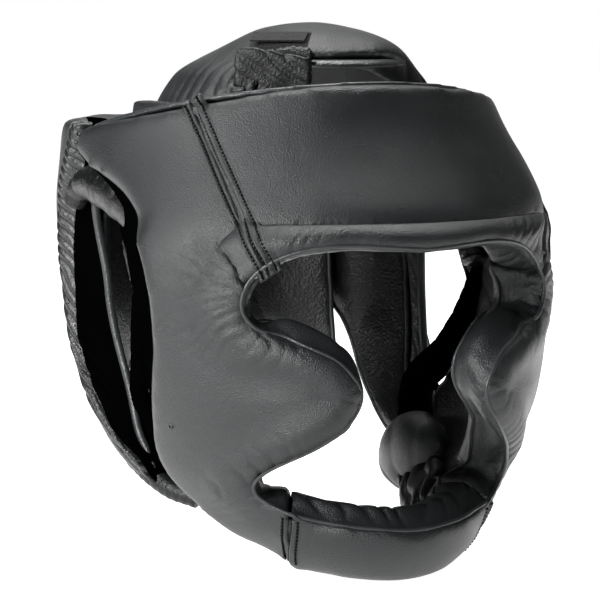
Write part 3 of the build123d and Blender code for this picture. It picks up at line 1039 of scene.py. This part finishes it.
def make_ear_trim(side, sign, rear_tree):
    """Round one ear hole: piping behind, a hood above, a soft roll in front and the jaw strap below. The
    front roll is near black as painted shade, and the hood is darkened as painted shade.
    """
    flip = np.array([-sign, 1, 1])
    stripe = smooth_path(even(np.array(EAR_STRIPE, float), 2.0), 10) * flip
    stripe = smooth_path(np.array([rear_tree.find_nearest(Vector(p))[0] for p in stripe]), 16)
    width = 1.9 * (1 - 0.75 * smoothstep(np.linspace(0, 1, len(stripe)), 0.88, 1.0))
    dress(tube(f"ear_piping_{side}", stripe, width, sides=10), f"rear_{side}", "edge_leather", EDGE)
    hood = soft_roll(f"ear_hood_{side}", EAR_HOOD, flip)
    dress(hood, "headpiece", "cover_leather", HOOD, f"ear_cap_{side}", fill=0.8)
    # The front roll gets the near-black painted shade.
    front = soft_roll(f"ear_front_roll_{side}", EAR_FRONT, flip)
    dress(front, "headpiece", "lining_leather", PAINTED_SHADE, fill=0.8)
    strap = soft_roll(f"jaw_strap_{side}", JAW_STRAP, flip)
    dress(strap, "headpiece", "strap_leather", STRAP)


def dark_side(pad):
    """Above 0 where a rear pad turns its face to the ear hole; a near-black sheet of painted shade goes
    there.
    """
    points, normals = points_of(pad.data), normals_of(pad.data)
    facing = np.minimum((-normals[:, 1] + 0.2) * 10, (0.5 - inward(points, normals)) * 10)
    start = np.interp(points[:, 2], (-45, -10, 20, 45), (3.0, 5.5, 8.0, 8.5))
    return np.minimum(np.minimum(facing, 66 - points[:, 1]), depth_of(points) - start)


def rear_shape(points, normals):
    lift = 1.0 * noise(points, 40, 51) + 0.4 * noise(points, 14, 52)
    folds = 0.9 * crease(points[:, 0] * 0.10 + noise(points, 30, 53) * 1.3, 2.0)
    return lift + folds * smoothstep(depth_of(points), 8, 16)


def lower_flap(points):
    """The right flap hangs lower inside, where the left one laps over it."""
    x, y, z = points.T
    share = smoothstep(-z, -6, 22) * smoothstep(y, 34, 54) * smoothstep(x, -84, -56)
    share = share * smoothstep(z, -88, -60) * (1 + 0.35 * smoothstep(-x, 10, 50))
    return points - np.array([0, 0, 11.5]) * share[:, None]


def neck_shape(points, normals):
    """The neck straps are soft and folded where they tuck in under the jaw."""
    folds = crease((points[:, 1] * 0.8 - points[:, 2]) * 0.30 + noise(points, 14, 95) * 1.6, 1.6)
    return 2.2 + 1.8 * folds + 1.0 * noise(points, 10, 96)


def make_rear_pad(side, sign):
    """One rear flap with its lining and the piping round that."""
    body = f"rear_{side}"
    cover, foam, lining, flap = [f"rear_{layer}_{side}" for layer in ("cover", "foam", "lining", "flap")]
    warp = lower_flap if sign < 0 else None
    nodes = [cover, foam, lining, flap]
    pad = soft_pad(f"rear_pad_{side}", nodes, rounds=14, free=rear_free, shape=rear_shape, warp=warp)
    dress(pad, body, "cover_leather", COVER, cover, foam, flap, fill=0.7)
    sheet, loops = lining_sheet(f"{lining}_sheet", pad, inner_side(pad, 9.0, 0.5))
    dress(sheet, body, "lining_leather", LINING, lining)
    dress(piping(f"rear_piping_{side}", loops, 1.1), body, "edge_leather", EDGE)
    return pad


def make_rear():
    for side, sign in SIDES.items():
        body = f"rear_{side}"
        pad = make_rear_pad(side, sign)
        roll = soft_piece(f"ear_roll_pad_{side}", body, "cover_leather", ROLL, [f"ear_roll_{side}"], fill=0.8,
                          voxel=1.5, rounds=8, shape=roll_shape(sign))
        # The roll's and the pad's faces towards the ear hole get near-black sheets of painted shade.
        for part, source in (("roll", roll), ("pad", pad)):
            name = f"ear_lining_{part}_{side}"
            dark, _ = lining_sheet(name, source, dark_side(source), smoothing=20, blur=16)
            dress(dark, body, "lining_leather", PAINTED_SHADE)
        make_ear_trim(side, sign, surface_of(pad, roll))
        soft_piece(f"neck_strap_band_{side}", "headpiece", "strap_leather", STRAP, [f"neck_strap_{side}"],
                   voxel=1.5, rounds=24, shape=neck_shape)


# ---------------------------------------------------------------- crown
def crown_shape(points, normals):
    """A dome that is gathered into its edge."""
    side = smoothstep(np.hypot(points[:, 0], points[:, 1] - 4), 40, 66)
    angle = np.arctan2(points[:, 0], points[:, 1] - 4)
    gathers = crease(angle * 22 + noise(points, 14, 61) * 1.2, 1.6) * side
    lift = 1.1 * noise(points, 34, 62) + 0.35 * noise(points, 12, 63)
    return lift * (1 - 0.5 * side) + 1.5 * gathers


def crown_warp(points):
    """Leans the crown towards the wearer's left, as it sits in use."""
    share = smoothstep(points[:, 2], 96, 114)[:, None]
    sunk = smoothstep(-points[:, 0], 10, 60)[:, None] * share
    return points + np.array([5.2, -2.6, 0]) * share + np.array([0, 0, -2.5]) * sunk


# The crown strap's fold: where its middle is, how high, and how steeply the strap rises from it.
FOLD_X, FOLD_Y, FOLD_Z = -32.3, -36.7, 109.7
STRAP_RISE = 0.296
STRAP_HALF_WIDTH = 17


def strap_across(points):
    """Distance across the crown strap from its middle."""
    return (points[:, 0] - FOLD_X) * 0.8 - (points[:, 1] - FOLD_Y) * 0.6


def strap_along(points):
    """Distance along the crown strap from its fold."""
    return (points[:, 0] - FOLD_X) * 0.6 + (points[:, 1] - FOLD_Y) * 0.8


def strap_base_shape(points, normals):
    across = strap_across(points)
    folds = crease((points[:, 2] * 0.8 + across * 0.6) * 0.45 + noise(points, 11, 71) * 1.3, 1.8)
    return 0.8 * folds + 0.6 * noise(points, 9, 72)


def strap_base_warp(points):
    drop = smoothstep(strap_across(points), -12, 17) * smoothstep(points[:, 2], 92, 108) * 4.0
    return points - np.array([0, 0, 1.0]) * drop[:, None]


def drape_on(tree, gap):
    """Bends a flat strap so that it lies on the crown."""
    def warp(points):
        along = strap_along(points)
        above = points[:, 2] - (FOLD_Z + STRAP_RISE * along)
        bent = points.copy()
        for i, p in enumerate(points):
            hit = tree.ray_cast(Vector((p[0], p[1], 200)), Vector((0, 0, -1)), 200)
            if hit[0] is not None:
                bent[i, 2] = hit[0][2] + gap + above[i] * 0.6
        sides = 4.0 * (strap_across(points) / STRAP_HALF_WIDTH) ** 2
        bent[:, 2] -= sides + 6.5 * (1 - smoothstep(along, -1, 13))
        return bent
    return warp


def make_crown():
    nodes = ["crown_cover", "crown_foam", "crown_lining"]
    pad = soft_piece("crown_pad", "headpiece", "cover_leather", COVER, nodes, fill=0.5,
                     rounds=6, shape=crown_shape, warp=crown_warp)
    small = {"voxel": 1.2, "rounds": 3, "finer": 0}
    soft_piece("crown_binding_edge", "headpiece", "edge_leather", EDGE, ["crown_binding"], **small)
    for node in [f"crown_gather_{side}" for side in SIDES]:
        soft_piece(f"{node}_folds", "headpiece", "cover_leather", COVER, [node], **small)
    soft_piece("crown_strap_base_tab", "headpiece", "strap_leather", STRAP, ["crown_strap_base"],
               voxel=1.1, rounds=3, finer=0, shape=strap_base_shape, warp=strap_base_warp)
    soft_piece("crown_strap_tongue_tab", "crown_strap", "strap_leather", STRAP, ["crown_strap_tongue"],
               voxel=1.1, rounds=16, finer=0, warp=drape_on(surface_of(pad), 0.4))


# The right vent eyelet's place, and the radii of its ring and of the ring's wire.
VENT = (-88.0, -49.0, -51.0)
VENT_RADIUS, VENT_WIRE = 1.0, 0.45


def make_vents():
    for side, sign in SIDES.items():
        tree = surface_of(FORWARD[side])
        place = np.array([VENT]) * np.array([-sign, 1, 1])
        out = outward_at(place)
        middle = lay_on(tree, place, out)[0]
        first = unit(np.cross(out[0], (0, 0, 1)))
        second = np.cross(out[0], first)
        angles = np.linspace(0, math.tau, 25)[:-1, None]
        ring = middle + VENT_RADIUS * (np.cos(angles) * first + np.sin(angles) * second)
        eyelet = tube(f"vent_eyelet_{side}_ring", ring, VENT_WIRE, closed=True)
        dress(eyelet, "headpiece", "eyelet_metal", METAL, f"vent_eyelet_{side}")


def finish_cad_nodes():
    """Small CAD nodes that show as they are get their materials."""
    kinds = {"patch": PILE, "eyelet": METAL, "binding": EDGE}
    for name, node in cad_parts.items():
        node.data.materials.clear()
        node.data.materials.append(next((m for key, m in kinds.items() if key in name), COVER))


make_front()
make_front_linings()
make_bolsters()
make_face_piping()
make_seams()
make_vents()
make_rear()
make_crown()
finish_cad_nodes()


# ---------------------------------------------------------------- camera, light and floor
CAMERA_AZIMUTH = -27.0
CAMERA_ELEVATION = 5.0
CAMERA_DISTANCE = 1.5
CAMERA_LENS = 201.1
CAMERA_DROP, CAMERA_SHIFT = 0.0045, 0.0005

# How brightly the floor and the world glow round the camera, and behind the headgear.
FLOOR_DIM, FLOOR_BRIGHT = 0.06, 1.0
WORLD_DIM, WORLD_BRIGHT = 0.07, 1.0
FLOOR_HALF = 9000.0


def point_at(obj, direction):
    obj.rotation_mode = "QUATERNION"
    obj.rotation_quaternion = direction.to_track_quat("-Z", "Y")


def make_camera():
    a, e = math.radians(CAMERA_AZIMUTH), math.radians(CAMERA_ELEVATION)
    back = Vector((math.sin(a) * math.cos(e), -math.cos(a) * math.cos(e), math.sin(e)))
    right = Vector((math.cos(a), math.sin(a), 0))
    up = back.cross(right)
    data = bpy.data.cameras.new("camera")
    data.lens = CAMERA_LENS
    data.sensor_width = 36.0
    data.clip_start, data.clip_end = 0.1, 50
    camera = add_object("camera", data)
    camera.location = back * CAMERA_DISTANCE - up * CAMERA_DROP - right * CAMERA_SHIFT
    point_at(camera, -back)
    bpy.context.scene.camera = camera
    return back, right, up


def area_light(name, place, target, size, power):
    data = bpy.data.lights.new(name, "AREA")
    data.shape = "RECTANGLE"
    data.size, data.size_y = size
    data.energy = power
    light = add_object(name, data)
    light.location = place
    point_at(light, Vector(target) - Vector(place))


def aimed(tree, source, direction, low, high, dim, bright):
    """A value that rises from dim to bright as source . direction goes from low to high."""
    dot = tree.nodes.new("ShaderNodeVectorMath")
    dot.operation = "DOT_PRODUCT"
    dot.inputs[1].default_value = direction
    tree.links.new(source, dot.inputs[0])
    return ramp(tree, dot.outputs["Value"], low, high, dim, bright, "SMOOTHSTEP")


def make_floor(back):
    """A pale floor that glows like a lit backdrop behind the headgear."""
    floor_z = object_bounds()[0].z / MM
    corners = [(x * FLOOR_HALF, y * FLOOR_HALF, floor_z) for x, y in ((-1, -1), (1, -1), (1, 1), (-1, 1))]
    floor = mesh_from("floor", np.array(corners), [(0, 1, 2, 3)])
    material, shader = plain("pale_floor", (0.8, 0.8, 0.8), 1.0)
    shader.inputs["Specular IOR Level"].default_value = 0.0
    shader.inputs["Emission Color"].default_value = (1, 1, 1, 1)
    tree = material.node_tree
    place = tree.nodes.new("ShaderNodeTexCoord").outputs["Object"]
    glow = aimed(tree, place, (-back.x, -back.y, 0), -0.25, -0.06, FLOOR_DIM, FLOOR_BRIGHT)
    tree.links.new(glow, shader.inputs["Emission Strength"])
    floor.data.materials.append(material)
    floor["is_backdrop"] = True


def make_world(back):
    """A studio that is white behind the headgear and dim around the camera."""
    world = bpy.data.worlds.new("studio")
    bpy.context.scene.world = world
    world.use_nodes = True
    tree = world.node_tree
    background = tree.nodes["Background"]
    background.inputs["Color"].default_value = (1, 1, 1, 1)
    direction = tree.nodes.new("ShaderNodeTexCoord").outputs["Generated"]
    glow = aimed(tree, direction, tuple(-back), 0.90, 0.985, WORLD_DIM, WORLD_BRIGHT)
    tree.links.new(glow, background.inputs["Strength"])


def make_stage():
    back, right, up = make_camera()
    area_light("key", right * -1.2 + up * 0.75 + back * 1.2, (-0.05, 0, 0.02), (0.42, 0.5), 42)
    area_light("temple", (-1.10, -0.46, 0.26), (-0.078, -0.078, 0.018), (0.22, 0.22), 8)
    area_light("fill", right * 1.2 - up * 0.8 + back * 0.75, (0.03, 0, -0.05), (0.35, 0.35), 7)
    area_light("top", up * 1.7 - back * 0.5, (0, 0, 0), (1.3, 0.6), 34)
    make_floor(back)
    make_world(back)
    bpy.context.scene.view_settings.view_transform = "Standard"


make_stage()
